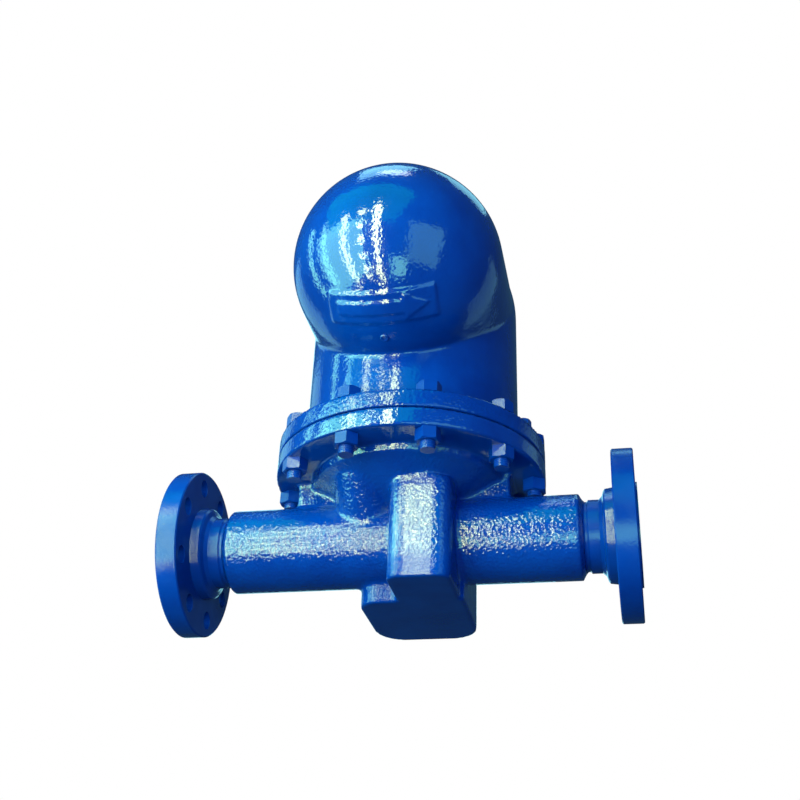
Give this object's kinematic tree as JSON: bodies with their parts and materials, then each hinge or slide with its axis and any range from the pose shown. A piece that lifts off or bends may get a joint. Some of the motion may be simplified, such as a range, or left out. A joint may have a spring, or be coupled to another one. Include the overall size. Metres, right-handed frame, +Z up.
{
  "type": "ball float steam trap",
  "caption": "Flanged ball float steam trap: cast body with pipe arms under a bolted, forward-bent hood, float lever, valve rod, seat and thermostatic air vent.",
  "frame": {"origin": "centre of the inlet flange's raised face, on the pipe axis", "axes": "+X along the pipe in the direction of flow to the outlet flange, +Z up, -Y the side the float lobe reaches out to"},
  "size_m": [0.58, 0.4365, 0.576],
  "materials": {
    "painted_casting": "gloss, rough cast",
    "painted_steel": "gloss",
    "painted_fastener": "gloss",
    "graphite": "matt",
    "hardened_steel": "ground",
    "spring_steel": "satin",
    "stainless_steel": "satin",
    "machined_iron": "machined"
  },
  "bodies": {
    "casing": {"air_vent_body": "stainless_steel", "air_vent_capsule": "stainless_steel", "air_vent_clip": "spring_steel", "air_vent_tube": "stainless_steel", "body": "painted_casting", "bracket_screw_1": "stainless_steel", "bracket_screw_2": "stainless_steel", "casing_bolt_01": "painted_fastener", "casing_bolt_02": "painted_fastener", "casing_bolt_03": "painted_fastener", "casing_bolt_04": "painted_fastener", "casing_bolt_05": "painted_fastener", "casing_bolt_06": "painted_fastener", "casing_bolt_07": "painted_fastener", "casing_bolt_08": "painted_fastener", "casing_bolt_09": "painted_fastener", "casing_bolt_10": "painted_fastener", "casing_gasket": "graphite", "casing_nut_01": "painted_fastener", "casing_nut_02": "painted_fastener", "casing_nut_03": "painted_fastener", "casing_nut_04": "painted_fastener", "casing_nut_05": "painted_fastener", "casing_nut_06": "painted_fastener", "casing_nut_07": "painted_fastener", "casing_nut_08": "painted_fastener", "casing_nut_09": "painted_fastener", "casing_nut_10": "painted_fastener", "cover": "painted_casting", "housing_gasket": "graphite", "housing_screw_1": "stainless_steel", "housing_screw_2": "stainless_steel", "housing_screw_3": "stainless_steel", "housing_screw_4": "stainless_steel", "inlet_flange": "painted_steel", "inlet_weld": "painted_steel", "jacking_screw_1": "painted_fastener", "jacking_screw_2": "painted_fastener", "lever_bracket": "stainless_steel", "outlet_flange": "painted_steel", "outlet_weld": "painted_steel", "pivot_clip_1": "spring_steel", "pivot_clip_2": "spring_steel", "pivot_pin": "stainless_steel", "seat_gasket": "hardened_steel", "valve_housing": "machined_iron", "valve_seat": "hardened_steel"},
    "float_arm": {"float_lever": "stainless_steel", "rod_pin": "stainless_steel", "rod_clip_1": "spring_steel", "rod_clip_2": "spring_steel", "float_ball": "stainless_steel", "float_stud": "stainless_steel", "float_nut": "stainless_steel"},
    "valve_stem": {"valve_rod": "stainless_steel", "valve_plug": "hardened_steel"},
    "vent_valve": {"air_vent_valve": "stainless_steel"}
  },
  "joints": [
    {"name": "float_pivot", "type": "hinge", "parent": "casing", "child": "float_arm", "pos_m": [0.296, 0.04, 0.32], "axis": [-1, 0, 0], "range_deg": [0, 16]},
    {"name": "stem_slide", "type": "slide", "parent": "casing", "child": "valve_stem", "axis": [0, 0, 1], "range_m": [0, 0.0112]},
    {"name": "vent_slide", "type": "slide", "parent": "casing", "child": "vent_valve", "axis": [0, 0, -1], "range_m": [0, 0.0019], "stiffness_N_per_m": 200}
  ],
  "couplings": [
    {"joint": "stem_slide", "follows": "float_pivot", "m_per_rad": 0.0395}
  ]
}
